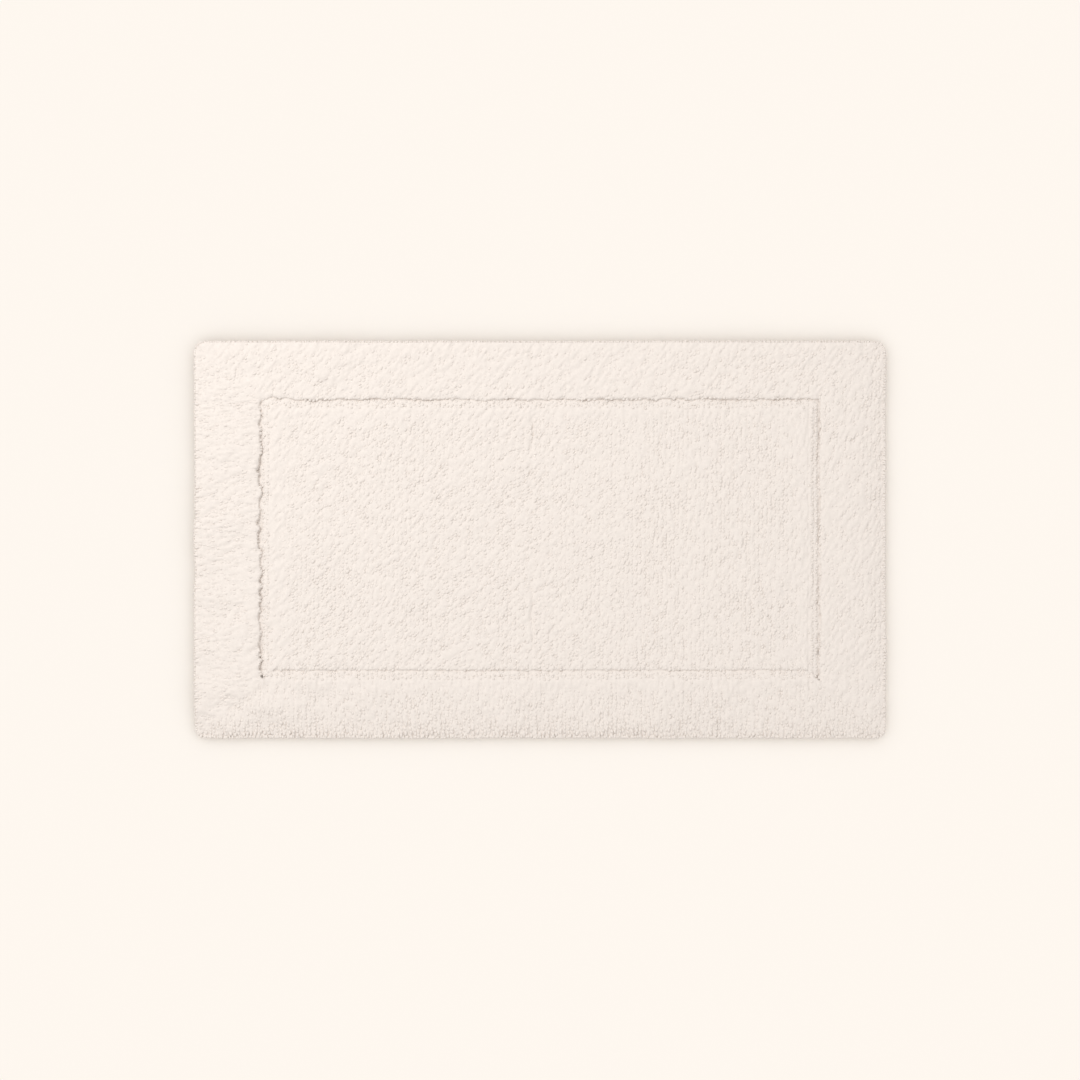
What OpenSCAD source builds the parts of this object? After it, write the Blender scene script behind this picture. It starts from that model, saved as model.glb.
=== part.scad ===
// Tufted bath mat: a cut-pile field and border around a sunk frame line,
// on a latex-coated woven backing with a taped and stitched hem.
// The mat lies flat on Z = 0, long side along X, pile up.

/* [Mat] */
// Length of the pile surface along X
mat_length = 1194; // [900:1:1500]
// Width of the pile surface along Y
mat_width = 686; // [560:1:900]
// Total height from the floor to the tips of the pile
mat_height = 22; // [18:0.5:32]
// Radius of the four corners in plan
corner_radius = 18; // [14:1:40]

/* [Frame line] */
// Width of the border pile at the two short ends
end_border = 114; // [80:1:160]
// Width of the border pile at the two long sides
side_border = 100; // [70:1:140]
// Width of the sunk channel at the two short ends
end_channel = 24; // [12:1:32]
// Width of the sunk channel at the two long sides
side_channel = 19; // [12:1:32]
// Height of the low pile in the channel above the backing
channel_pile = 9; // [5:0.5:11]
// Radius of the rounded shoulder along every edge of the high pile
pile_shoulder = 6; // [3:0.5:7]

/* [Backing] */
// How far the pile stands out past the hemmed edge of the backing
pile_overhang = 7; // [4:0.5:10]
// Thickness of the woven primary backing
backing_thickness = 1; // [0.6:0.1:1.6]
// Thickness of the latex coat in the middle of the underside
latex_thickness = 1.8; // [1.4:0.1:3]

/* [Hem] */
// Width of the hem tape
tape_width = 32; // [20:1:45]
// Thickness of the hem tape
tape_thickness = 1; // [0.8:0.1:1.2]
// Distance of each seam from the edge of the tape
seam_inset = 5; // [3:0.5:8]
// Length of one stitch
stitch_length = 8; // [4:0.5:12]
// Gap between two stitches
stitch_gap = 3; // [2:0.5:6]
// Diameter of the hem thread
thread_diameter = 0.6; // [0.4:0.1:0.7]

/* [Care label] */
// Length of the label along X
label_length = 62; // [40:1:90]
// Width of the label along Y
label_width = 36; // [25:1:50]
// Thickness of the label
label_thickness = 0.6; // [0.5:0.1:0.8]
// Distance of the label from the hem tape
label_clearance = 24; // [10:1:60]

/* [Hidden] */

$fn = 32;

// Heights of the layers, from the floor up
backing_bottom = latex_thickness;
pile_bottom = backing_bottom + backing_thickness;
shoulder_steps = 5;

// How far a cutting shape reaches past the face that it cuts
past = 0.01;

// Turns that carry a strip from the front to each side
at_front = [0, 0, 0];
at_right = [0, 0, 90];
at_back = [0, 0, 180];
at_left = [0, 0, 270];

// Outline of the hemmed backing
back_length = mat_length - 2 * pile_overhang;
back_width = mat_width - 2 * pile_overhang;
back_radius = corner_radius - pile_overhang;

// Outer edge of the channel, and the centre field inside it
groove_length = mat_length - 2 * end_border;
groove_width = mat_width - 2 * side_border;
field_length = groove_length - 2 * end_channel;
field_width = groove_width - 2 * side_channel;

// Distances of a tape's two seams from its outer edge
seams = [seam_inset, tape_width - seam_inset];

// A seam lies in a groove wider than its thread and exactly as deep
groove_ratio = 1.6;
label_thread = 0.3;
label_seam_inset = 3;
label_stitch = 3;
label_gap = 1.5;
label_x = -back_length / 2 + tape_width + label_clearance + label_length / 2;
label_y = back_width / 2 - tape_width - label_clearance - label_width / 2;

pile_color = [0.97, 0.93, 0.88];
channel_color = [0.90, 0.85, 0.79];
backing_color = [0.86, 0.80, 0.68];
latex_color = [0.93, 0.90, 0.82];
tape_color = [0.95, 0.91, 0.84];
thread_color = [0.99, 0.98, 0.95];
label_color = [1.0, 1.0, 1.0];

// A rectangle with round corners, centred on the origin
module round_rect(length, width, radius) {
    hull()
        for (x = [-1, 1], y = [-1, 1])
            translate([x * (length / 2 - radius), y * (width / 2 - radius)])
                circle(r = radius);
}

// The rounded shoulder of the high pile, from its outer face at y up to the flat top;
// inward is 1 where the pile lies on the greater side of y and -1 where it lies on the lesser
function shoulder(y, inward) = [
    for (i = [0 : shoulder_steps])
        [
            y + inward * pile_shoulder * (1 - cos(90 * i / shoulder_steps)),
            mat_height - pile_shoulder * (1 - sin(90 * i / shoulder_steps))
        ]
];

function reversed(points) = [for (i = [len(points) - 1 : -1 : 0]) points[i]];

// A bar of high pile along X, from y = near to y = far
module pile_bar(length, near, far) {
    rotate([90, 0, 90])
        linear_extrude(length, center = true)
            polygon(concat(
                [[near, pile_bottom]],
                shoulder(near, 1),
                reversed(shoulder(far, -1)),
                [[far, pile_bottom]]
            ));
}

// Plan of a strip along the front whose outer edge is at edge_y: it gets shorter
// by cut at each end over its depth, so that four strips meet at the corners
module mitred_plan(length, edge_y, depth, cut) {
    polygon([
        [-length / 2, edge_y],
        [length / 2, edge_y],
        [length / 2 - cut, edge_y + depth],
        [-length / 2 + cut, edge_y + depth]
    ]);
}

// One strip of border pile, from the outer edge to the channel
module border_pile(turn, length, width, border, end_cut) {
    color(pile_color)
        rotate(turn)
            intersection() {
                pile_bar(length, -width / 2, -width / 2 + border);
                linear_extrude(mat_height)
                    intersection() {
                        mitred_plan(length, -width / 2, border, end_cut);
                        round_rect(length, width, corner_radius);
                    }
            }
}

// The low pile rows of one side of the channel
module channel_rows(turn, length, width, channel, end_cut) {
    color(channel_color)
        rotate(turn)
            translate([0, 0, pile_bottom])
                linear_extrude(channel_pile)
                    mitred_plan(length, -width / 2, channel, end_cut);
}

// How long the run of a seam is on a tape of the given length
function seam_run(length, seam) = length - 2 * seam - 2 * seam_inset;

// A straight groove along X in a lower face, for a seam
module seam_groove(run, y, thread) {
    translate([-run / 2, y - groove_ratio * thread / 2, -past])
        cube([run, groove_ratio * thread, thread + past]);
}

// A straight row of stitches along X, lying on the floor
module stitch_row(run, y, thread, stitch, gap) {
    pitch = stitch + gap;
    last = floor((run - stitch) / pitch);
    for (i = [0 : last])
        translate([(i - last / 2) * pitch, y, thread / 2])
            rotate([0, 90, 0])
                cylinder(d = thread, h = stitch, center = true);
}

// One length of hem tape, with mitred ends and its two seam grooves underneath
module hem_tape(turn, length, width) {
    color(tape_color)
        rotate(turn)
            difference() {
                linear_extrude(tape_thickness)
                    intersection() {
                        mitred_plan(length, -width / 2, tape_width, tape_width);
                        round_rect(length, width, back_radius);
                    }
                for (seam = seams)
                    seam_groove(seam_run(length, seam), -width / 2 + seam, thread_diameter);
            }
}

// The stitches of both seams of one tape
module hem_thread(turn, length, width) {
    color(thread_color)
        rotate(turn)
            for (seam = seams)
                stitch_row(
                    seam_run(length, seam), -width / 2 + seam, thread_diameter, stitch_length, stitch_gap
                );
}

// The label's two seams, one near each end of it
module at_label_seams() {
    for (side = [-1, 1])
        translate([label_x + side * (label_length / 2 - label_seam_inset), label_y, 0])
            rotate([0, 0, 90])
                children();
}

module center_pile() {
    color(pile_color)
        intersection() {
            pile_bar(field_length, -field_width / 2, field_width / 2);
            rotate([0, 0, 90])
                pile_bar(field_width, -field_length / 2, field_length / 2);
        }
}

module border_pile_front() { border_pile(at_front, mat_length, mat_width, side_border, end_border); }
module border_pile_back() { border_pile(at_back, mat_length, mat_width, side_border, end_border); }
module border_pile_left() { border_pile(at_left, mat_width, mat_length, end_border, side_border); }
module border_pile_right() { border_pile(at_right, mat_width, mat_length, end_border, side_border); }

module channel_pile_front() {
    channel_rows(at_front, groove_length, groove_width, side_channel, end_channel);
}
module channel_pile_back() {
    channel_rows(at_back, groove_length, groove_width, side_channel, end_channel);
}
module channel_pile_left() {
    channel_rows(at_left, groove_width, groove_length, end_channel, side_channel);
}
module channel_pile_right() {
    channel_rows(at_right, groove_width, groove_length, end_channel, side_channel);
}

// The woven cloth that the pile is tufted through
module primary_backing() {
    color(backing_color)
        translate([0, 0, backing_bottom])
            linear_extrude(backing_thickness)
                round_rect(back_length, back_width, back_radius);
}

// The latex lies over the tapes and reaches the floor inside them, with a pocket for the label
module latex_coat() {
    color(latex_color)
        difference() {
            union() {
                translate([0, 0, tape_thickness])
                    linear_extrude(latex_thickness - tape_thickness)
                        round_rect(back_length, back_width, back_radius);
                translate([-back_length / 2 + tape_width, -back_width / 2 + tape_width, 0])
                    cube([back_length - 2 * tape_width, back_width - 2 * tape_width, latex_thickness]);
            }
            translate([label_x - label_length / 2, label_y - label_width / 2, -past])
                cube([label_length, label_width, label_thickness + past]);
        }
}

module hem_tape_front() { hem_tape(at_front, back_length, back_width); }
module hem_tape_back() { hem_tape(at_back, back_length, back_width); }
module hem_tape_left() { hem_tape(at_left, back_width, back_length); }
module hem_tape_right() { hem_tape(at_right, back_width, back_length); }

module hem_thread_front() { hem_thread(at_front, back_length, back_width); }
module hem_thread_back() { hem_thread(at_back, back_length, back_width); }
module hem_thread_left() { hem_thread(at_left, back_width, back_length); }
module hem_thread_right() { hem_thread(at_right, back_width, back_length); }

// A blank label, flush with the latex
module care_label() {
    color(label_color)
        difference() {
            translate([label_x - label_length / 2, label_y - label_width / 2, 0])
                cube([label_length, label_width, label_thickness]);
            at_label_seams()
                seam_groove(label_width - 2 * label_seam_inset, 0, label_thread);
        }
}

module label_stitches() {
    color(thread_color)
        at_label_seams()
            stitch_row(label_width - 2 * label_seam_inset, 0, label_thread, label_stitch, label_gap);
}

center_pile();
border_pile_front();
border_pile_back();
border_pile_left();
border_pile_right();
channel_pile_front();
channel_pile_back();
channel_pile_left();
channel_pile_right();
primary_backing();
latex_coat();
hem_tape_front();
hem_tape_back();
hem_tape_left();
hem_tape_right();
hem_thread_front();
hem_thread_back();
hem_thread_left();
hem_thread_right();
care_label();
label_stitches();
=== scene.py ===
"""Looks of the tufted bath mat: every yarn end of the pile, the backing cloth, the latex coat,
the hem tapes, their stitches and the label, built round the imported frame. Lengths are in metres."""

import math

import bpy
import numpy as np
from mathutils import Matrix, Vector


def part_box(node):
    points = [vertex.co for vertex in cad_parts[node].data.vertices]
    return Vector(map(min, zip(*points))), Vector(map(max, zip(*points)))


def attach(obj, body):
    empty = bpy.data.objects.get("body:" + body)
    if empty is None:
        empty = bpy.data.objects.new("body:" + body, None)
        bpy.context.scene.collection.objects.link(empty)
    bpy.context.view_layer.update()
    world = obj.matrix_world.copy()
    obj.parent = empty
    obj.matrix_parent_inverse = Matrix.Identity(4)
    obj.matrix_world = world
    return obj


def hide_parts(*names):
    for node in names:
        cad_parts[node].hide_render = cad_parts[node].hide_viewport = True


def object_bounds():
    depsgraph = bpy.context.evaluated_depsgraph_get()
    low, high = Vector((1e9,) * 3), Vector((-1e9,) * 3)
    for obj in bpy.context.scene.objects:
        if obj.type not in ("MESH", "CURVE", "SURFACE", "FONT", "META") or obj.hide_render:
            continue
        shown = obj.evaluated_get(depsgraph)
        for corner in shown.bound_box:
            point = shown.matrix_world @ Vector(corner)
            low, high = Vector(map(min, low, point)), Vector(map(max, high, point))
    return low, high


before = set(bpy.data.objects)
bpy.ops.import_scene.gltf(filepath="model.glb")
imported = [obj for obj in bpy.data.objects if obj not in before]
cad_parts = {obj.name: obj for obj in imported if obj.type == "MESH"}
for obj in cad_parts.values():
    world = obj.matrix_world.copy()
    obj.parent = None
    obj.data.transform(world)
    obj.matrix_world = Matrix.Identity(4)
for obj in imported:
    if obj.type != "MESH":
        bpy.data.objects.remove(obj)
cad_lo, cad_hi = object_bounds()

MM = 0.001

# ---------------------------------------------------------------- places, from the frame


def corners(node):
    """A CAD node's lowest and highest corners, as arrays."""
    low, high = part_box(node)
    return np.array(low), np.array(high)


FRONT, BACK, LEFT, RIGHT = range(4)
SIDES = ("front", "back", "left", "right")
mat_half = np.array(cad_hi)[:2]
mat_top = cad_hi[2]
field_half = corners("center_pile")[1][:2]
groove_half = np.array([corners("channel_pile_right")[1][0], corners("channel_pile_back")[1][1]])
backing_half = corners("primary_backing")[1][:2]
pile_bottom = corners("primary_backing")[1][2]
corner_radius = 18 * MM
backing_radius = corner_radius - (mat_half - backing_half)[0]

# ---------------------------------------------------------------- smooth noise over the plan


def ease(t):
    """From 0 to 1 with flat ends."""
    t = np.clip(t, 0, 1)
    return t * t * (3 - 2 * t)


def ramp(value, start, end):
    """0 before start, 1 after end, and eased between them."""
    return ease((value - start) / (end - start))


def bump(value, middle, width):
    """1 at the middle, falling to nothing about two widths away."""
    return np.exp(-(((value - middle) / width) ** 2))


def wander(x, y, cell, seed):
    """Smooth noise from about -1 to 1, whose lumps are about one cell across."""
    size = 512
    lattice = np.random.default_rng(seed).uniform(-1, 1, (size, size))
    u, v = x / cell + size / 2, y / cell + size / 2
    i, j = np.floor(u).astype(int), np.floor(v).astype(int)
    s, t = ease(u - i), ease(v - j)
    i0, i1, j0, j1 = i % size, (i + 1) % size, j % size, (j + 1) % size
    low = lattice[i0, j0] * (1 - s) + lattice[i1, j0] * s
    high = lattice[i0, j1] * (1 - s) + lattice[i1, j1] * s
    return low * (1 - t) + high * t


# ---------------------------------------------------------------- shape of the pile


def outside(x, y, half):
    """Distance outside a centred rectangle; negative inside it."""
    return np.maximum(np.abs(x) - half[0], np.abs(y) - half[1])


def side_of(x, y, outer, inner):
    """Which of a frame's four mitred sides each point lies on."""
    across_x = (outer[0] - np.abs(x)) / (outer[0] - inner[0])
    across_y = (outer[1] - np.abs(y)) / (outer[1] - inner[1])
    ends = np.where(x < 0, LEFT, RIGHT)
    return np.where(across_y < across_x, np.where(y < 0, FRONT, BACK), ends)


def channel_share(x, y):
    """How far across the channel each point lies: 0 at the field's wall, 1 at the border's wall,
    below 0 in the field and above 1 in the border. The walls wander as sheared pile does."""
    reach = 1.9 * MM * (1 + 1.3 * ramp(-x, 0.4, 0.46))
    wave = reach * (wander(x, y, 26 * MM, 21) + 0.8 * wander(x, y, 10 * MM, 22))
    past_field = outside(x, y, field_half) + 0.6 * wave
    past_channel = outside(x, y, groove_half) + wave
    return past_field / (past_field - past_channel)


def regions(x, y):
    """The CAD pile node that each root belongs to, as an index into PILE_NODES."""
    share = channel_share(x, y)
    border = 1 + side_of(x, y, mat_half, groove_half)
    channel = 5 + side_of(x, y, groove_half, field_half)
    return np.where(share < 0, 0, np.where(share > 1, border, channel))


PILE_NODES = ["center_pile"]
PILE_NODES += ["border_pile_" + side for side in SIDES]
PILE_NODES += ["channel_pile_" + side for side in SIDES]
# A middling channel width, which turns a share into a rough distance
CHANNEL_WIDTH = 21 * MM

# Directions that the yarn is combed in, in degrees from +X; the borders' are in the order of SIDES
FIELD_NAP = 234
FIELD_NAP_RIGHT = 262
BORDER_NAP = (268, 232, 186, 246)
STROKE_WIDTH = 4.3 * MM
STROKE_DRAW = 2.3
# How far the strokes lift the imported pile, and the tips of the yarn ends
BED_STROKE = 1.3 * MM
TIP_STROKE = 0.45 * MM


def combed(x, y, turn, seed):
    """Fine noise drawn out into short strokes that run at an angle of turn degrees."""
    c, s = math.cos(math.radians(turn)), math.sin(math.radians(turn))
    along, across = x * c + y * s, y * c - x * s
    return wander(along / STROKE_DRAW, across, STROKE_WIDTH, seed)


def strokes(x, y):
    """The yarn ends' combed strokes over the whole mat, from about -1 to 1."""
    right = ramp(x, 0.0, 0.25)
    field = combed(x, y, FIELD_NAP, 81) * (1 - right) + combed(x, y, FIELD_NAP_RIGHT, 82) * right
    side = side_of(x, y, mat_half, groove_half)
    border = np.choose(side, [combed(x, y, turn, 83 + k) for k, turn in enumerate(BORDER_NAP)])
    return np.where(channel_share(x, y) < 0.5, field, border)


# Place and width of the crease, and the middle of a slanting rubbed patch and its direction across
FOLD_X = -15 * MM
CREASE_WIDTH = 3.0 * MM
RUB_X, RUB_Y = 122 * MM, -6 * MM
RUB_SLANT = (0.65, -0.76)
# How far the pile droops towards the right and front edges, and how far in the droop begins
DROOP_RIGHT, DROOP_RIGHT_REACH = 6 * MM, 100 * MM
DROOP_FRONT, DROOP_FRONT_REACH = 6.5 * MM, 110 * MM


def plateau(x, y):
    """Height of the high pile's surface: nearly level, softly undulating, creased by a fold, rubbed
    down in one patch, and drooping at the right and front."""
    soft = 1.1 * MM * wander(x, y, 90 * MM, 31) + 0.6 * MM * wander(x, y, 28 * MM, 32)
    outer = ramp(outside(x, y, groove_half), 0, 0.03) * (1 + 1.4 * ramp(-x, 0.1, 0.5))
    soft = soft + outer * 1.1 * MM * wander(x * 0.6, y, 32 * MM, 34)
    fold_x = FOLD_X + 2.5 * MM * wander(x * 0, y, 60 * MM, 33) + 1.5 * MM * wander(x * 0, y, 16 * MM, 35)
    crease = np.maximum(1.3 + 1.1 * wander(x * 0, y, 24 * MM, 36), 0.2) * MM
    crease = crease * bump(x, fold_x, CREASE_WIDTH)
    crease = crease * (1 - 0.6 * ramp(outside(x, y, field_half), -40 * MM, 0))
    across_rub = (x - RUB_X) * RUB_SLANT[0] + (y - RUB_Y) * RUB_SLANT[1]
    rub = 0.9 * MM * ramp(across_rub, -14 * MM, 14 * MM) * (1 - ramp(across_rub, 14 * MM, 70 * MM))
    rub = rub * bump(x, RUB_X, 80 * MM)
    droop_x = DROOP_RIGHT * np.clip(1 + (x - mat_half[0]) / DROOP_RIGHT_REACH, 0, 1) ** 2
    droop_y = DROOP_FRONT * np.clip(1 + (-y - mat_half[1]) / DROOP_FRONT_REACH, 0, 1) ** 2
    return mat_top + 0.2 * MM + soft - crease - rub - np.maximum(droop_x, droop_y)


# Where the ditch along each of the channel's walls lies, as a share of the channel's width
FIELD_DITCH, BORDER_DITCH = 0.07, 0.93


def surface(x, y):
    """Height of the pile's surface, with the channel and the rounded outer edge. The channel's floor
    climbs from a ditch at its steep wall to the level of the pile at its gentle one."""
    share = channel_share(x, y)
    side = side_of(x, y, groove_half, field_half)
    high = plateau(x, y)
    climb = np.clip(np.where(side == FRONT, share, 1 - share), 0, 1)
    ridges = 0.45 * MM * np.cos(share * 6 * np.pi) * (side == RIGHT)
    step = np.select([side == LEFT, side == RIGHT, side == FRONT], [5.6, 4.8, 3.4], 4.0) * MM
    low = high - step + (step - 0.2 * MM) * climb**0.8 + ridges
    field_wall = np.select([side == FRONT, side == RIGHT], [1.0, 0.25], 0.0)
    border_wall = np.where(side == FRONT, 0.0, 1.0)
    front_depth = 0.65 - 0.2 * ramp(x, 0, 0.4)
    depth = np.select([side == LEFT, side == RIGHT, side == FRONT], [2.6, 1.25, front_depth], 1.4)
    depth = depth * MM * (1 + np.minimum(0.9 * wander(x, y, 24 * MM, 23), 0.4))
    breadth = np.where(side == RIGHT, 0.19, 0.15)
    at_field = field_wall * bump(share, FIELD_DITCH, breadth)
    at_border = border_wall * bump(share, BORDER_DITCH, breadth)
    ditch = 0.9 * depth * (at_field + at_border)
    inside = (share > 0) & (share < 1)
    past = np.where(share <= 0, -share, share - 1) * CHANNEL_WIDTH
    wall = np.where(share <= 0, field_wall, border_wall)
    shoulder = 2.0 * MM * wall * np.clip(1 - past / (7 * MM), 0, 1) ** 2
    level = np.where(inside, low - ditch, high - shoulder)
    edge = np.clip(1 + outside(x, y, mat_half) / (7 * MM), 0, 1)
    return level - 2.0 * MM * edge**2.4


def stand(x, y):
    """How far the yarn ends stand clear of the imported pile: least in the channel and beside its
    gentle wall, most in the open field."""
    share = channel_share(x, y)
    in_field = share < 0.5
    past = np.where(in_field, -share, share - 1) * CHANNEL_WIDTH
    near_front = side_of(x, y, groove_half, field_half) == FRONT
    smooth = np.where(in_field != near_front, 34 * MM, 5 * MM)
    side = side_of(x, y, mat_half, groove_half)
    clear = np.select([in_field, side == FRONT], [1.6, 1.65], 1.25) * MM
    clear = clear + 0.25 * MM * wander(x, y, 70 * MM, 62)
    clear = clear + 0.6 * MM * ramp(outside(x, y, mat_half), -18 * MM, -2 * MM)
    clear = clear + 0.8 * MM * ramp(np.maximum(x - mat_half[0], -y - mat_half[1]), -45 * MM, 0)
    return 0.8 * MM + (clear - 0.8 * MM) * ramp(past, -3 * MM, smooth)


# Place, width and depth share of the two dents in the left edge
LEFT_DENTS = ((42 * MM, 9 * MM, 1.0), (-52 * MM, 10 * MM, 0.8))


def settle(points):
    """Moves finished points so that the mat's outline wanders as the real one does."""
    x, y = points[:, 0], points[:, 1]
    left = ramp(-x, mat_half[0] - 0.05, mat_half[0])
    right = ramp(x, mat_half[0] - 0.05, mat_half[0])
    front = ramp(-y, mat_half[1] - 0.04, mat_half[1])
    back = ramp(y, mat_half[1] - 0.04, mat_half[1])
    sway = wander(x * 0, y, 55 * MM, 71)
    dent = sum(share * bump(y, place, width) for place, width, share in LEFT_DENTS)
    dx = left * (0.6 * MM + 1.1 * MM * sway + 1.8 * MM * dent)
    dx = dx + right * 0.6 * MM * wander(x * 0, y, 45 * MM, 72)
    dy = front * (0.4 * MM + 0.7 * MM * wander(x, y * 0, 30 * MM, 73))
    dy = dy + back * 0.35 * MM * wander(x, y * 0, 60 * MM, 74)
    return points + np.stack([dx, dy, 0 * dx], axis=1)


def nap(x, y, region, rng):
    """How far each yarn end lies over, in plan: combed one way in each part of the mat."""
    field_turn = FIELD_NAP + (FIELD_NAP_RIGHT - FIELD_NAP) * ramp(x, 0.0, 0.3)
    turn = np.select([region == 0] + [region == 1 + k for k in range(4)], [field_turn, *BORDER_NAP], 250)
    turn = turn + 22 * wander(x, y, 45 * MM, 51) + 14 * wander(x, y, 14 * MM, 52)
    turn = np.radians(turn + 8 * rng.normal(size=len(x)))
    reach = np.where(region >= 5, 3.5 * MM, 8.2 * MM) * rng.uniform(0.85, 1.2, len(x))
    splay_x = np.clip(1 + (np.abs(x) - mat_half[0]) / (14 * MM), 0, 1)
    splay_y = np.clip(1 + (np.abs(y) - mat_half[1]) / (14 * MM), 0, 1)
    free = 1 - np.maximum(splay_x, splay_y)
    dx = reach * free * np.cos(turn) + 11 * MM * splay_x * np.sign(x)
    dy = reach * free * np.sin(turn) + 11 * MM * splay_y * np.sign(y)
    return dx, dy


# ---------------------------------------------------------------- tufts

COLUMN_PITCH = 7.2 * MM
STITCH_PITCH = 5.8 * MM
TUFT_SIDES = 7
# Share of the tuft's length, and of its full radius, at each ring; then the crown's share of length
TUFT_RINGS = ((0.0, 0.6), (0.42, 0.95), (0.7, 1.0), (0.89, 0.8), (0.985, 0.42))
CROWN = 1.02
TUFT_RADIUS = 3.1 * MM
# Most tufts in one piece
PER_PIECE = 2500
# Height of each edge row's tips at full pile, and how far in from the outline they end
EDGE_ROWS = ((5.8 * MM, 5.4 * MM), (9.6 * MM, 3.4 * MM), (13.6 * MM, 1.4 * MM), (18.4 * MM, 0.1 * MM))
EDGE_SPACING = 3.6 * MM
EDGE_TUFT_LENGTH = 9 * MM
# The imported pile: how many strips it is cut into, and its grid's spacing beside and away from walls
BED_STRIPS = 4
BED_FINE, BED_COARSE = 1.4 * MM, 1.95 * MM
BED_INSET = 2.4 * MM
BED_TUCK = 8.5 * MM


def stitches():
    """Plan places of the stitches: columns along Y, each with its own start and small wander."""
    rng = np.random.default_rng(5)
    half = mat_half - 5 * MM
    columns = int(round(2 * half[0] / COLUMN_PITCH)) + 1
    rows = int(round(2 * half[1] / STITCH_PITCH)) + 1
    cx, cy = np.meshgrid(np.linspace(-half[0], half[0], columns), np.linspace(-half[1], half[1], rows))
    cy = cy + rng.uniform(-0.5, 0.5, columns) * STITCH_PITCH
    cx = cx + rng.uniform(-1.6, 1.6, cx.shape) * MM
    cy = cy + rng.uniform(-1.8, 1.8, cy.shape) * MM
    cx, cy = cx.ravel(), cy.ravel()
    corner = np.maximum(np.abs(cx) - (half[0] - corner_radius), 0) ** 2
    corner = corner + np.maximum(np.abs(cy) - (half[1] - corner_radius), 0) ** 2
    share = channel_share(cx, cy)
    in_ditch = (np.abs(share - 0.92) < 0.09) | (np.abs(share - 0.08) < 0.09)
    keep = (outside(cx, cy, half) < 0.1 * MM) & (corner < corner_radius**2) & ~in_ditch
    return cx[keep], cy[keep]


def unit(v):
    """Vectors of length 1 along v."""
    return v / np.maximum(np.linalg.norm(v, axis=-1, keepdims=True), 1e-9)


def tuft_faces(count):
    """Corner indices of the tufts' quads, of their crowns and of their closed roots."""
    ring = np.arange(TUFT_SIDES)
    following = (ring + 1) % TUFT_SIDES
    levels = [k * TUFT_SIDES for k in range(len(TUFT_RINGS))]
    quads = np.concatenate([
        np.stack([low + ring, low + following, high + following, high + ring], axis=1)
        for low, high in zip(levels, levels[1:])
    ])
    crown = np.full(TUFT_SIDES, len(TUFT_RINGS) * TUFT_SIDES)
    caps = np.stack([levels[-1] + ring, levels[-1] + following, crown], axis=1)
    each = len(TUFT_RINGS) * TUFT_SIDES + 1
    start = (np.arange(count) * each)[:, None]
    quads = (start[..., None] + quads[None]).reshape(-1, 4)
    caps = (start[..., None] + caps[None]).reshape(-1, 3)
    return quads, caps, start + ring[::-1][None]


def tufts(root, out, tip, radius, rng):
    """Vertices of one tuft from each root to its tip, leaving the root along out and bending over."""
    count = len(root)
    length = np.linalg.norm(tip - root, axis=1, keepdims=True)
    knee = root + out * length * 0.55
    turn = rng.uniform(0, 2 * np.pi, count)
    side = np.stack([np.ones(count), 0 * turn, 0 * turn], axis=1)
    angle = turn[:, None] + 2 * np.pi * np.arange(TUFT_SIDES)[None] / TUFT_SIDES
    lobes = 1 + 0.07 * np.cos(3 * angle + rng.uniform(0, 6.3, (count, 1)))
    lobes = lobes + 0.08 * np.cos(2 * angle + rng.uniform(0, 6.3, (count, 1)))
    rows = []
    for share, wide in TUFT_RINGS:
        centre = (1 - share) ** 2 * root + 2 * share * (1 - share) * knee + share**2 * tip
        along = unit((1 - share) * (knee - root) + share * (tip - knee))
        across = unit(np.cross(along, side))
        third = np.cross(across, along)
        reach = radius[:, None] * wide * lobes * rng.uniform(0.93, 1.07, (count, TUFT_SIDES))
        row = centre[:, None] + (np.cos(angle) * reach)[..., None] * across[:, None]
        rows.append(row + (np.sin(angle) * reach)[..., None] * third[:, None])
    along = unit(tip - knee)
    rows.append((tip + along * length * (CROWN - 1))[:, None])
    return np.concatenate(rows, axis=1).reshape(-1, 3)


def mesh_object(name, verts, *face_sets):
    """A new mesh object from arrays of corners."""
    mesh = bpy.data.meshes.new(name)
    loops = np.concatenate([f.ravel() for f in face_sets])
    totals = np.concatenate([np.full(len(f), f.shape[1]) for f in face_sets])
    starts = np.concatenate([[0], np.cumsum(totals)[:-1]])
    mesh.vertices.add(len(verts))
    mesh.vertices.foreach_set("co", verts.astype(np.float32).ravel())
    mesh.loops.add(len(loops))
    mesh.loops.foreach_set("vertex_index", loops.astype(np.int32))
    mesh.polygons.add(len(totals))
    mesh.polygons.foreach_set("loop_start", starts.astype(np.int32))
    mesh.polygons.foreach_set("loop_total", totals.astype(np.int32))
    mesh.polygons.foreach_set("use_smooth", np.ones(len(totals), dtype=bool))
    mesh.update(calc_edges=True)
    piece = bpy.data.objects.new(name, mesh)
    bpy.context.scene.collection.objects.link(piece)
    return piece


def yarn_piece(name, verts, count, material, slot, *nodes):
    """A piece made of count tufts, which stands for the given CAD nodes."""
    piece = mesh_object(name, settle(verts), *tuft_faces(count))
    piece.data.materials.append(material)
    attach(piece, "root")
    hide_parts(*nodes)
    return piece


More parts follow.
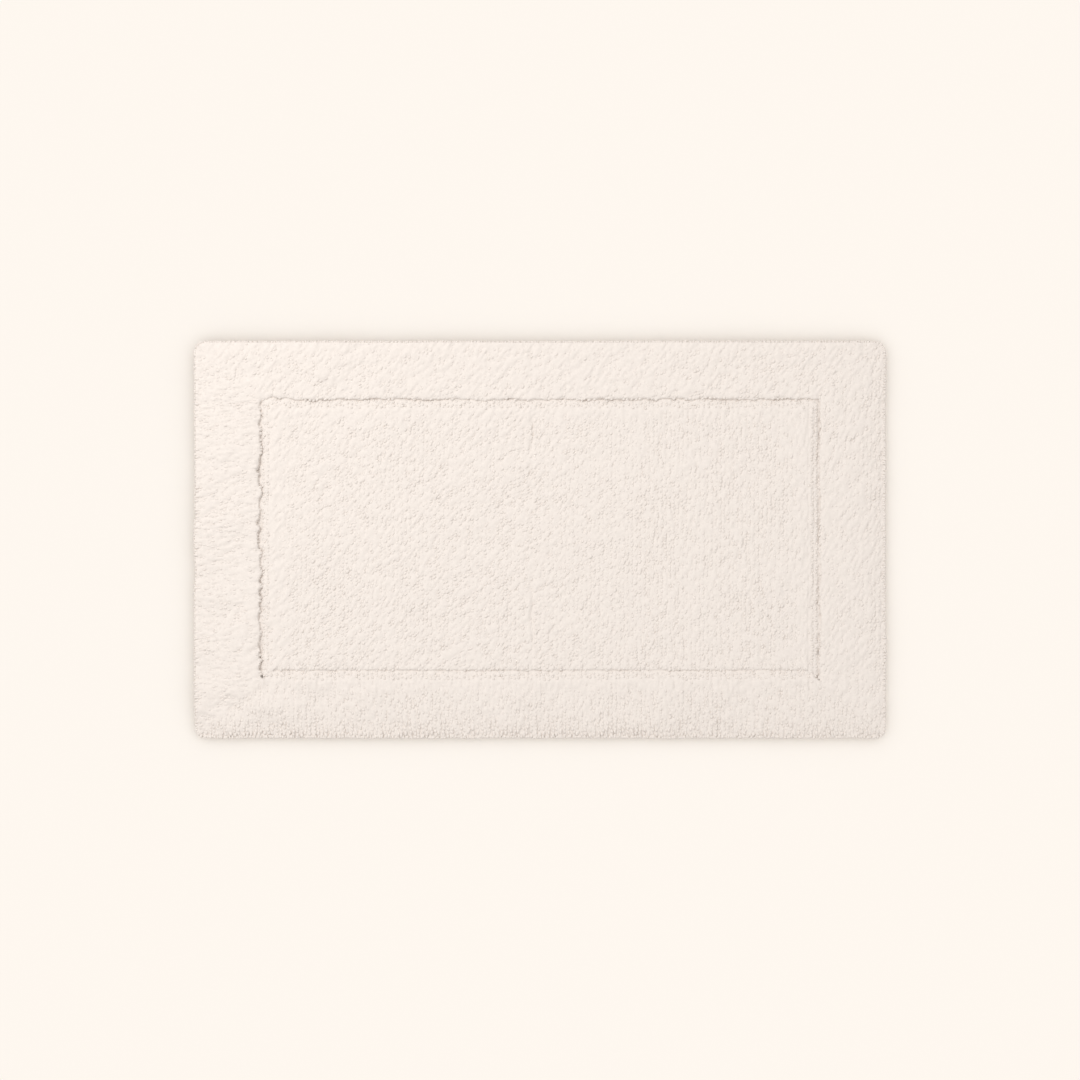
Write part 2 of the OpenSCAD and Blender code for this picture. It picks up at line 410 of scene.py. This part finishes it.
def grow_pile(material):
    """Every tuft of the pile, as pieces that each stand for a part of one CAD node."""
    rng = np.random.default_rng(7)
    x, y = stitches()
    region = regions(x, y)
    count = len(x)
    dx, dy = nap(x, y, region, rng)
    low = region >= 5
    tip_half = mat_half - 0.4 * MM
    tip_x = np.clip(x + 0.5 * dx, -tip_half[0], tip_half[0])
    tip_y = np.clip(y + 0.5 * dy, -tip_half[1], tip_half[1])
    level = surface(x, y)
    uneven = np.where(low, 0.15, 0.25) * MM * rng.normal(size=count)
    tz = level - np.where(low, 0.6, 2.6) * MM + TIP_STROKE * strokes(x, y) + uneven
    root_z = np.maximum(pile_bottom + 0.2 * MM, tz - np.where(low, 5.0, 8.0) * MM)
    root = np.stack([x - 0.5 * dx, y - 0.5 * dy, root_z], axis=1)
    tip = np.stack([tip_x, tip_y, tz], axis=1)
    out = np.tile([0.0, 0.0, 1.0], (count, 1))
    radius = TUFT_RADIUS * np.where(low, 0.8, 1.0) * rng.uniform(0.88, 1.12, count)
    made = []
    for number, node in enumerate(PILE_NODES):
        chosen = np.flatnonzero(region == number)
        parts = max(1, math.ceil(len(chosen) / PER_PIECE))
        for part, some in enumerate(np.array_split(chosen, parts)):
            name = "yarn_" + node if parts == 1 else f"yarn_{node}_{part + 1}"
            verts = tufts(root[some], out[some], tip[some], radius[some], rng)
            slot = "pile_yarn" if number < 5 else "channel_yarn"
            made.append(yarn_piece(name, verts, len(some), material, slot, node))
    return made


def outline(distance):
    """Points and outward directions at distances along the mat's rounded outline."""
    straight = mat_half - corner_radius
    angle = np.concatenate([np.linspace(90 * k, 90 * k + 90, 16) for k in range(4)])
    angle = np.radians(np.append(angle, 360))
    quarter = np.append(np.repeat(np.arange(4), 16), 0)
    sx = np.array([1, -1, -1, 1])[quarter]
    sy = np.array([1, 1, -1, -1])[quarter]
    px = sx * straight[0] + corner_radius * np.cos(angle)
    py = sy * straight[1] + corner_radius * np.sin(angle)
    along = np.concatenate([[0], np.cumsum(np.hypot(np.diff(px), np.diff(py)))])
    at = distance * along[-1]
    turn = np.interp(at, along, angle)
    place = np.stack([np.interp(at, along, px), np.interp(at, along, py)], axis=1)
    return place, np.stack([np.cos(turn), np.sin(turn)], axis=1)


def grow_edge(material):
    """The yarn ends that lean out over the mat's edge, in rows from the backing up."""
    rng = np.random.default_rng(9)
    perimeter = 4 * (mat_half[0] + mat_half[1])
    count = int(perimeter / EDGE_SPACING)
    roots, outs, tips = [], [], []
    for height, inset in EDGE_ROWS:
        place, away = outline((np.arange(count) + rng.uniform(-0.4, 0.4, count)) / count % 1)
        away3 = np.column_stack([away, np.zeros(count)])
        back = inset + 0.3 * MM * rng.normal(size=count)
        lowered = surface(*(place - away * 6 * MM).T) / mat_top
        z = height * lowered + 0.4 * MM * rng.normal(size=count)
        tip = np.column_stack([place - away * back[:, None], z])
        sideways = np.column_stack([-away[:, 1], away[:, 0], 0 * z])
        sideways = sideways * (1.2 * MM * rng.normal(size=count))[:, None]
        root = tip - away3 * EDGE_TUFT_LENGTH + sideways
        root[:, 2] = np.maximum(pile_bottom + 1.0 * MM, z * 0.7)
        roots.append(root)
        tips.append(tip)
        outs.append(unit(away3 + [0, 0, 0.35]))
    root, tip, out = map(np.concatenate, (roots, tips, outs))
    radius = TUFT_RADIUS * 0.82 * rng.uniform(0.88, 1.12, len(root))
    verts = tufts(root, out, tip, radius, rng)
    size = len(verts) // len(root)
    halves = np.array_split(np.arange(len(root)), 2)
    nodes = ["border_pile_" + side for side in SIDES]
    return [
        yarn_piece(f"yarn_edge_{k + 1}", verts[some[0] * size:(some[-1] + 1) * size], len(some),
                   material, "pile_yarn", *nodes)
        for k, some in enumerate(halves)
    ]


def bed_lines(half, walls):
    """Grid lines from -half to half, closer together near the walls than elsewhere."""
    lines = [-half]
    while lines[-1] < half:
        near = min(abs(abs(lines[-1]) - wall) for wall in walls)
        lines.append(lines[-1] + (BED_FINE if near < 6 * MM else BED_COARSE))
    lines = np.array(lines)
    return -half + (lines + half) * 2 * half / (lines[-1] + half)


def rounded(x, y, half, radius):
    """Grid points of a rectangle, drawn in at its corners to follow a rounded outline."""
    over = np.stack([np.abs(x) - half[0] + radius, np.abs(y) - half[1] + radius], axis=-1)
    over = np.maximum(over, 0)
    squeeze = over.max(axis=-1) / np.maximum(np.linalg.norm(over, axis=-1), 1e-9)
    squeeze = np.where(over.min(axis=-1) > 0, squeeze, 1)
    x = np.sign(x) * (np.abs(x) - over[..., 0] * (1 - squeeze))
    y = np.sign(y) * (np.abs(y) - over[..., 1] * (1 - squeeze))
    return x, y


def grid_faces(shape):
    """Corner indices of a grid's quads, and of its rim in order."""
    at = np.arange(shape[0] * shape[1]).reshape(shape)
    quads = np.stack([at[:-1, :-1], at[:-1, 1:], at[1:, 1:], at[1:, :-1]], axis=-1).reshape(-1, 4)
    return quads, np.concatenate([at[0, :-1], at[:-1, -1], at[-1, :0:-1], at[:0:-1, 0]])


def bed_strip(name, x, y, material):
    """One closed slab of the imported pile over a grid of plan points."""
    top = surface(x, y) - stand(x, y) + BED_STROKE * strokes(x, y)
    top = np.maximum(top, pile_bottom + 1.0 * MM)
    quads, rim = grid_faces(x.shape)
    upper = np.stack([x.ravel(), y.ravel(), top.ravel()], axis=1)
    tucked = upper[rim]
    at_edge = np.abs(tucked[:, :2]) > mat_half - 12 * MM
    tucked[:, :2] -= np.sign(tucked[:, :2]) * BED_TUCK * at_edge
    tucked[:, 2] = pile_bottom
    under = x.size + np.arange(len(rim))
    walls = np.stack([under, np.roll(under, -1), np.roll(rim, -1), rim], axis=1)
    strip = mesh_object(name, settle(np.concatenate([upper, tucked])), quads, walls, under[::-1][None])
    strip.data.set_sharp_from_angle(angle=math.radians(60))
    strip.data.materials.append(material)
    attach(strip, "root")
    return strip


def pile_bed(material):
    """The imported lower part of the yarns, under the yarn ends, in strips that lie side by side."""
    half = mat_half - BED_INSET
    lines_x = bed_lines(half[0], (field_half[0], groove_half[0], half[0]))
    lines_y = bed_lines(half[1], (field_half[1], groove_half[1], half[1]))
    x, y = rounded(*np.meshgrid(lines_x, lines_y), half, corner_radius)
    cuts = np.linspace(0, len(lines_x) - 1, BED_STRIPS + 1).astype(int)
    return [
        bed_strip(f"pile_bed_{k + 1}", x[:, start:end + 1], y[:, start:end + 1], material)
        for k, (start, end) in enumerate(zip(cuts, cuts[1:]))
    ]


# ---------------------------------------------------------------- underside

SEAM_INSET = 5 * MM
STITCH = 8 * MM
STITCH_GAP = 3 * MM
TAPE_WIDTH = 32 * MM
TAPE_SEAMS = (SEAM_INSET, TAPE_WIDTH - SEAM_INSET)
# Distances from the tape's outer edge of its grid lines, in mm: close together at edges and seams
TAPE_LINES = (0, 0.5, 1.4, 3.0, 4.1, 4.6, 5.0, 5.4, 5.9, 7.0, 9.5, 13, 16)
# Quarter turns that carry the front strip to each side, in the order of SIDES
QUARTER_TURNS = (0, 2, 3, 1)
THREAD = 0.6 * MM
LABEL_THREAD = 0.3 * MM
LABEL_SEAM_INSET = 3 * MM
LABEL_STITCH = 3 * MM
LABEL_GAP = 1.5 * MM
STITCH_RINGS = 9
PLY_SIDES = 5


def quarter_turned(x, y, turns):
    """Plan places turned about the origin by a number of quarter turns."""
    for _ in range(turns):
        x, y = -y, x
    return x, y


def cloth(name, x, y, top, bottom, material, node):
    """A closed sheet of cloth over a grid of plan points, between two sets of heights."""
    quads, rim = grid_faces(x.shape)
    following = np.roll(rim, -1)
    walls = np.stack([rim + x.size, following + x.size, following, rim], axis=1)
    layers = [np.stack([x.ravel(), y.ravel(), z.ravel()], axis=1) for z in (top, bottom)]
    verts = np.concatenate(layers)
    piece = mesh_object(name, verts, quads, quads[:, ::-1] + x.size, walls)
    piece.data.set_sharp_from_angle(angle=math.radians(50))
    piece.data.materials.append(material)
    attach(piece, "root")
    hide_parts(node)
    return piece


def backing_cloth(material):
    """The woven cloth between the pile and the latex."""
    lines_x = np.linspace(-backing_half[0], backing_half[0], 120)
    lines_y = np.linspace(-backing_half[1], backing_half[1], 70)
    x, y = rounded(*np.meshgrid(lines_x, lines_y), backing_half, backing_radius)
    low, high = corners("primary_backing")
    top = high[2] - 0.04 * MM * (1 + wander(x, y, 12 * MM, 91))
    bottom = low[2] + 0.04 * MM * (1 + wander(x, y, 12 * MM, 92))
    piece = cloth("backing_cloth", x, y, top, bottom, material, "primary_backing")
    return piece


def hem_tape(side, material):
    """One mitred length of tape, puckered along its two seams."""
    turns = QUARTER_TURNS[side]
    half_length, half_width = backing_half[::1 if turns % 2 == 0 else -1]
    lines = np.array(TAPE_LINES) * MM
    lines = np.concatenate([lines, TAPE_WIDTH - lines[-2::-1]])
    count = int(2 * half_length / (2.75 * MM))
    share, inset = np.meshgrid(np.linspace(-1, 1, count), lines)
    along = share * (half_length - inset)
    half = (half_length, half_width)
    x, y = rounded(along, inset - half_width, half, backing_radius)
    pitch = STITCH + STITCH_GAP
    pucker = 0.6 + 0.4 * np.cos(2 * np.pi * along / pitch)
    rise = sum(
        0.55 * MM * bump(inset, seam, 0.5 * MM) + 0.16 * MM * pucker * bump(inset, seam, 2.2 * MM)
        for seam in TAPE_SEAMS
    )
    worn = 0.22 * MM * (bump(inset, 0, 0.6 * MM) + bump(inset, TAPE_WIDTH, 0.6 * MM))
    low, high = corners("hem_tape_" + SIDES[side])
    bottom = low[2] + 0.03 * MM * (1 + wander(x, y, 9 * MM, 93)) + rise + worn
    top = np.full_like(x, high[2] - 0.02 * MM) - worn
    x, y = quarter_turned(x, y, turns)
    name = "hem_tape_" + SIDES[side]
    piece = cloth("cloth_" + name, x, y, top, bottom, material, name)
    return piece


def seam_places(run, stitch, gap):
    """Middles of a row of stitches along a straight run."""
    pitch = stitch + gap
    last = math.floor((run - stitch) / pitch + 1e-6)
    return (np.arange(last + 1) - last / 2) * pitch


def thread_piece(name, middles, along, stitch, thread, material, node):
    """Two-ply stitches at plan places, each lying along its direction and dipping in at its ends."""
    count = len(middles)
    ply = 0.29 * thread
    share = np.linspace(-1, 1, STITCH_RINGS)
    angle = 2 * np.pi * np.arange(PLY_SIDES) / PLY_SIDES
    across = np.stack([-along[:, 1], along[:, 0]], axis=1)
    verts, faces, ends = [], [], []
    for start in (0, np.pi):
        twist = start + share * stitch / thread * 0.9
        taper = np.where(np.abs(share) > 0.99, 0.6, 1.0)
        middle = thread * 0.52 + thread * 0.5 * ramp(np.abs(share), 0.7, 1.0)
        ring_y = (ply * 0.8 * np.cos(twist))[:, None] + ply * taper[:, None] * np.cos(angle)
        ring_z = (middle + ply * 0.8 * np.sin(twist))[:, None] + ply * taper[:, None] * np.sin(angle)
        ring_x = np.broadcast_to((share * stitch / 2)[:, None], ring_y.shape)
        plan = middles[:, None, None] + ring_x[None, ..., None] * along[:, None, None]
        plan = plan + ring_y[None, ..., None] * across[:, None, None]
        z = np.broadcast_to(ring_z[None, ..., None], (*plan.shape[:-1], 1))
        verts.append(np.concatenate([plan, z], axis=-1).reshape(-1, 3))
    size = STITCH_RINGS * PLY_SIDES
    ring = np.arange(PLY_SIDES)
    following = (ring + 1) % PLY_SIDES
    levels = PLY_SIDES * np.arange(STITCH_RINGS)
    tube = np.concatenate([
        np.stack([low + ring, low + following, high + following, high + ring], axis=1)
        for low, high in zip(levels, levels[1:])
    ])
    starts = (np.arange(2 * count) * size)[:, None]
    tubes = (starts[..., None] + tube[None]).reshape(-1, 4)
    piece = mesh_object(name, np.concatenate(verts), tubes, starts + ring[::-1], starts + levels[-1] + ring)
    piece.data.materials.append(material)
    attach(piece, "root")
    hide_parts(node)
    return piece


def hem_stitches(side, material):
    """The stitches of one tape's two seams."""
    turns = QUARTER_TURNS[side]
    half_length, half_width = backing_half[::1 if turns % 2 == 0 else -1]
    places = []
    for inset in TAPE_SEAMS:
        t = seam_places(2 * half_length - 2 * inset - 2 * SEAM_INSET, STITCH, STITCH_GAP)
        places.append(np.stack(quarter_turned(t, np.full_like(t, inset - half_width), turns), axis=1))
    middles = np.concatenate(places)
    along = np.tile(np.array(quarter_turned(1.0, 0.0, turns)), (len(middles), 1))
    node = "hem_thread_" + SIDES[side]
    return thread_piece("sewn_" + node, middles, along, STITCH, THREAD, material, node)


def care_label(material):
    """The blank label, slightly wavy, with a dent along each of its two seams."""
    low, high = corners("care_label")
    lines_x = np.linspace(low[0], high[0], 88)
    lines_y = np.linspace(low[1], high[1], 52)
    x, y = np.meshgrid(lines_x, lines_y)
    dent = sum(
        bump(x, end, 0.7 * MM)
        for end in (low[0] + LABEL_SEAM_INSET, high[0] - LABEL_SEAM_INSET)
    )
    bottom = low[2] + 0.05 * MM * (1 + wander(x, y, 11 * MM, 94)) + 0.28 * MM * dent
    top = np.full_like(x, high[2] - 0.03 * MM)
    piece = cloth("cloth_care_label", x, y, top, bottom, material, "care_label")
    return piece


def label_stitches(material):
    """The stitches along the label's two short ends."""
    low, high = corners("care_label")
    t = seam_places(high[1] - low[1] - 2 * LABEL_SEAM_INSET, LABEL_STITCH, LABEL_GAP)
    middle = (low[1] + high[1]) / 2
    ends = (low[0] + LABEL_SEAM_INSET, high[0] - LABEL_SEAM_INSET)
    middles = np.concatenate([np.stack([np.full_like(t, end), middle + t], axis=1) for end in ends])
    along = np.tile([0.0, 1.0], (len(middles), 1))
    return thread_piece(
        "sewn_label_stitches", middles, along, LABEL_STITCH, LABEL_THREAD, material, "label_stitches"
    )


# ---------------------------------------------------------------- materials


def new_material(name):
    """A new node material, with its nodes, its links and its main shader."""
    material = bpy.data.materials.new(name)
    material.use_nodes = True
    nodes, links = material.node_tree.nodes, material.node_tree.links
    return material, nodes, links, nodes["Principled BSDF"]


def yarn_material(name, dark, light):
    """Matt cotton yarn: a colour that drifts from end to end, and fine fibre lines."""
    material, nodes, links, shader = new_material(name)
    coords = nodes.new("ShaderNodeTexCoord")
    drift = nodes.new("ShaderNodeTexNoise")
    drift.inputs["Scale"].default_value = 260
    drift.inputs["Detail"].default_value = 2
    tint = nodes.new("ShaderNodeValToRGB")
    tint.color_ramp.elements[0].position = 0.3
    tint.color_ramp.elements[0].color = (*dark, 1)
    tint.color_ramp.elements[1].position = 0.7
    tint.color_ramp.elements[1].color = (*light, 1)
    links.new(coords.outputs["Object"], drift.inputs["Vector"])
    links.new(drift.outputs["Fac"], tint.inputs["Fac"])
    links.new(tint.outputs["Color"], shader.inputs["Base Color"])
    shader.inputs["Roughness"].default_value = 0.9
    shader.inputs["Specular IOR Level"].default_value = 0.2
    shader.inputs["Sheen Weight"].default_value = 0.2
    shader.inputs["Sheen Roughness"].default_value = 0.6
    fibres = nodes.new("ShaderNodeTexNoise")
    fibres.inputs["Scale"].default_value = 1700
    fibres.inputs["Detail"].default_value = 3
    links.new(coords.outputs["Object"], fibres.inputs["Vector"])
    add_bump(material, fibres.outputs["Fac"], 0.35, 0.25 * MM)
    return material


def add_bump(material, height, strength, depth):
    """Drives the material's fine relief from a height."""
    nodes, links = material.node_tree.nodes, material.node_tree.links
    relief = nodes.new("ShaderNodeBump")
    relief.inputs["Strength"].default_value = strength
    relief.inputs["Distance"].default_value = depth
    links.new(height, relief.inputs["Height"])
    links.new(relief.outputs["Normal"], nodes["Principled BSDF"].inputs["Normal"])


def math_node(material, operation, *values):
    """The output of a math node whose inputs are sockets or numbers."""
    node = material.node_tree.nodes.new("ShaderNodeMath")
    node.operation = operation
    for socket, value in zip(node.inputs, values):
        if isinstance(value, bpy.types.NodeSocket):
            material.node_tree.links.new(value, socket)
        else:
            socket.default_value = value
    return node.outputs["Value"]


def ribs(material, place, period):
    """A wave from -1 to 1 over a coordinate in metres."""
    return math_node(material, "SINE", math_node(material, "MULTIPLY", place, 2 * math.pi / period))


def paint_shade_by_height(material, fac, dark, light):
    """Drives the base colour from a height between 0 and 1, as painted shade: darker where the height is
    low.
    """
    nodes, links = material.node_tree.nodes, material.node_tree.links
    tint = nodes.new("ShaderNodeValToRGB")
    tint.color_ramp.elements[0].color = (*dark, 1)
    tint.color_ramp.elements[1].color = (*light, 1)
    links.new(fac, tint.inputs["Fac"])
    links.new(tint.outputs["Color"], nodes["Principled BSDF"].inputs["Base Color"])


def place_sockets(material):
    """The X and Y object coordinates as sockets, and all of them as one vector."""
    nodes, links = material.node_tree.nodes, material.node_tree.links
    coords = nodes.new("ShaderNodeTexCoord")
    parts = nodes.new("ShaderNodeSeparateXYZ")
    links.new(coords.outputs["Object"], parts.inputs["Vector"])
    return parts.outputs["X"], parts.outputs["Y"], coords.outputs["Object"]


def speckle(material, vector, scale, detail=2):
    """Fine noise over the object coordinates."""
    noise = material.node_tree.nodes.new("ShaderNodeTexNoise")
    noise.inputs["Scale"].default_value = scale
    noise.inputs["Detail"].default_value = detail
    material.node_tree.links.new(vector, noise.inputs["Vector"])
    return noise.outputs["Fac"]


def finished(material, height, low, high, strength, depth, roughness, specular, sheen):
    """Drives the colour and the relief from a pattern's height, the colour as painted shade that is darker
    in the pattern's low parts, and sets the shader's finish.
    """
    fac = math_node(material, "MULTIPLY_ADD", height, 0.35, 0.5)
    # The colour is painted shade: the low colour falls in the pattern's hollows
    paint_shade_by_height(material, fac, low, high)
    add_bump(material, fac, strength, depth)
    shader = material.node_tree.nodes["Principled BSDF"]
    shader.inputs["Roughness"].default_value = roughness
    shader.inputs["Specular IOR Level"].default_value = specular
    shader.inputs["Sheen Weight"].default_value = sheen
    return material


def canvas_material():
    """Plain-woven natural canvas, whose weave repeats every 3 mm."""
    material = new_material("natural_canvas")[0]
    x, y, place = place_sockets(material)
    weave = math_node(material, "MULTIPLY", ribs(material, x, 3 * MM), ribs(material, y, 3 * MM))
    weave = math_node(material, "ADD", weave, speckle(material, place, 500))
    # The darker colour is painted shade in the hollows between the threads of the weave
    return finished(material, weave, (0.46, 0.39, 0.28), (0.66, 0.58, 0.44), 0.8, 0.3 * MM, 0.95, 0.2, 0.1)


def herringbone_material(name, lengthwise):
    """Cotton tape woven in a herringbone, with its stripes along axis 0 or 1."""
    material = new_material(name)[0]
    *axes, place = place_sockets(material)
    along, across = axes[lengthwise], axes[1 - lengthwise]
    zigzag = math_node(material, "PINGPONG", across, 4 * MM)
    twill = ribs(material, math_node(material, "ADD", along, zigzag), 1.5 * MM)
    twill = math_node(material, "ADD", twill, speckle(material, place, 700))
    # The darker colour is painted shade in the hollows of the twill
    return finished(material, twill, (0.55, 0.49, 0.41), (0.76, 0.70, 0.61), 0.8, 0.25 * MM, 0.9, 0.25, 0.15)


def latex_material():
    """Dull foamed latex, in which the rows of back stitches show."""
    material = new_material("foamed_latex")[0]
    x, y, place = place_sockets(material)
    sway = math_node(material, "MULTIPLY", speckle(material, place, 60), 6 * MM)
    columns = ribs(material, math_node(material, "ADD", x, sway), COLUMN_PITCH)
    rows = ribs(material, y, STITCH_PITCH)
    backs = math_node(material, "MULTIPLY_ADD", rows, 0.35, columns)
    foam = math_node(material, "ADD", backs, speckle(material, place, 900, 4))
    # The darker colour is painted shade between the stitch backs and in the foam's pits
    return finished(material, foam, (0.58, 0.52, 0.40), (0.74, 0.68, 0.56), 0.7, 0.5 * MM, 0.75, 0.35, 0.0)


def thread_material():
    """Spun sewing thread with a faint lustre."""
    material = new_material("sewing_thread")[0]
    x, y, place = place_sockets(material)
    slant = ribs(material, math_node(material, "ADD", x, y), 0.25 * MM)
    spun = math_node(material, "ADD", slant, speckle(material, place, 3000))
    # The darker colour is painted shade in the grooves of the spin
    return finished(material, spun, (0.72, 0.68, 0.60), (0.88, 0.85, 0.78), 0.5, 0.05 * MM, 0.6, 0.4, 0.1)


def satin_material():
    """White satin label cloth: fine ribs along its length and a soft gloss."""
    material = new_material("satin_label")[0]
    x, y, place = place_sockets(material)
    fine = math_node(material, "ADD", ribs(material, y, 0.6 * MM), speckle(material, place, 900))
    # The darker colour is painted shade between the fine ribs
    return finished(material, fine, (0.80, 0.80, 0.77), (0.90, 0.90, 0.88), 0.35, 0.06 * MM, 0.45, 0.5, 0.1)


# ---------------------------------------------------------------- stage

FLOOR_COLOR = (0.90, 0.845, 0.784)
BACKDROP = (0.991, 0.930, 0.863)
DOME = 1.182
HORIZON = 0.3
KEY_PLACE = (-1.7, 1.85, 2.5)
KEY_POWER = 47
# Width that the camera sees at the top of the pile, and the camera's height
FRAME_WIDTH = 1.861
CAMERA_HEIGHT = 4.0
SENSOR_WIDTH = 36


def stage():
    """A wide, plain floor."""
    half = 12.0
    plan = np.array([[-half, -half, 0], [half, -half, 0], [half, half, 0], [-half, half, 0]])
    floor = mesh_object("floor", plan, np.array([[0, 1, 2, 3]]))
    material, nodes, links, shader = new_material("floor_paint")
    shader.inputs["Base Color"].default_value = (*FLOOR_COLOR, 1)
    shader.inputs["Roughness"].default_value = 1.0
    shader.inputs["Specular IOR Level"].default_value = 0.0
    floor.data.materials.append(material)


def studio():
    """A soft sky, brightest overhead, that the camera sees as a plain backdrop."""
    world = bpy.data.worlds.new("studio")
    bpy.context.scene.world = world
    world.use_nodes = True
    nodes, links = world.node_tree.nodes, world.node_tree.links
    sky = nodes["Background"]
    sky.inputs["Color"].default_value = (1, 1, 1, 1)
    coords = nodes.new("ShaderNodeTexCoord")
    height = nodes.new("ShaderNodeSeparateXYZ")
    dome = nodes.new("ShaderNodeMapRange")
    dome.interpolation_type = "SMOOTHSTEP"
    dome.inputs["From Min"].default_value = -0.1
    dome.inputs["From Max"].default_value = 0.6
    dome.inputs["To Min"].default_value = HORIZON
    dome.inputs["To Max"].default_value = DOME
    links.new(coords.outputs["Generated"], height.inputs["Vector"])
    links.new(height.outputs["Z"], dome.inputs["Value"])
    links.new(dome.outputs["Result"], sky.inputs["Strength"])
    seen = nodes.new("ShaderNodeBackground")
    seen.inputs["Color"].default_value = (*BACKDROP, 1)
    path = nodes.new("ShaderNodeLightPath")
    pick = nodes.new("ShaderNodeMixShader")
    links.new(path.outputs["Is Camera Ray"], pick.inputs["Fac"])
    links.new(sky.outputs["Background"], pick.inputs[1])
    links.new(seen.outputs["Background"], pick.inputs[2])
    links.new(pick.outputs["Shader"], nodes["World Output"].inputs["Surface"])


def key_light(mat_pieces):
    """A soft box at the mat's far left, which lights the mat and leaves the backdrop even."""
    lamp = bpy.data.lights.new("key", "AREA")
    lamp.size = 0.9
    lamp.energy = KEY_POWER
    key = bpy.data.objects.new("key", lamp)
    bpy.context.scene.collection.objects.link(key)
    key.location = KEY_PLACE
    key.rotation_euler = key.location.to_track_quat("Z", "Y").to_euler()
    lit = bpy.data.collections.new("lit_by_key")
    for piece in mat_pieces:
        lit.objects.link(piece)
    key.light_linking.receiver_collection = lit


def camera():
    """The camera, straight above the middle of the mat."""
    lens_data = bpy.data.cameras.new("camera")
    lens_data.sensor_width = SENSOR_WIDTH
    lens_data.lens = SENSOR_WIDTH * (CAMERA_HEIGHT - mat_top) / FRAME_WIDTH
    cam = bpy.data.objects.new("camera", lens_data)
    bpy.context.scene.collection.objects.link(cam)
    cam.location = (0, 0, CAMERA_HEIGHT)
    cam.rotation_euler = (0, 0, 0)
    bpy.context.scene.camera = cam


bpy.context.scene.view_settings.view_transform = "Standard"
camera()
stage()
studio()
yarn = yarn_material("cotton_yarn", (0.648, 0.588, 0.540), (0.686, 0.623, 0.572))
pile = [*pile_bed(yarn), *grow_pile(yarn), *grow_edge(yarn)]
tape_along_x = herringbone_material("tape_long_sides", 0)
tape_along_y = herringbone_material("tape_ends", 1)
thread = thread_material()
underside = [backing_cloth(canvas_material()), care_label(satin_material()), label_stitches(thread)]
for side, material in zip(range(4), (tape_along_x, tape_along_x, tape_along_y, tape_along_y)):
    underside += [hem_tape(side, material), hem_stitches(side, thread)]
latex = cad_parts["latex_coat"]
latex.material_slots[0].material = latex_material()
key_light([*pile, *underside, latex])
